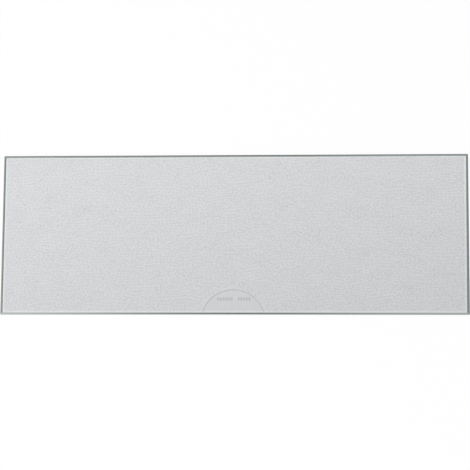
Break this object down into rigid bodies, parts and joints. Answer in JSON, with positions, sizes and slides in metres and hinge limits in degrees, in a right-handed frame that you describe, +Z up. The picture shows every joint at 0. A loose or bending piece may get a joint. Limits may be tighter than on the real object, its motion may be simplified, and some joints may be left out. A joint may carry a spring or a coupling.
{
  "type": "fridge glass shelf",
  "caption": "Flat rectangular toughened-glass fridge shelf with pencil-ground edges, a finely textured upper face and a clear arched window at the middle of its front edge.",
  "frame": {"origin": "centre of the underside, on the surface that the pane lies on", "axes": "+X along the long side, to the right as seen from the front; +Y from the front edge with the clear window to the back edge; +Z up through the thickness, textured face up"},
  "size_m": [0.475, 0.164, 0.0041],
  "materials": {
    "glass": "toughened float glass with a fine fused texture on the upper face and matt pencil-ground edges"
  },
  "bodies": {
    "root": {"glass_shelf": "glass"}
  },
  "joints": []
}
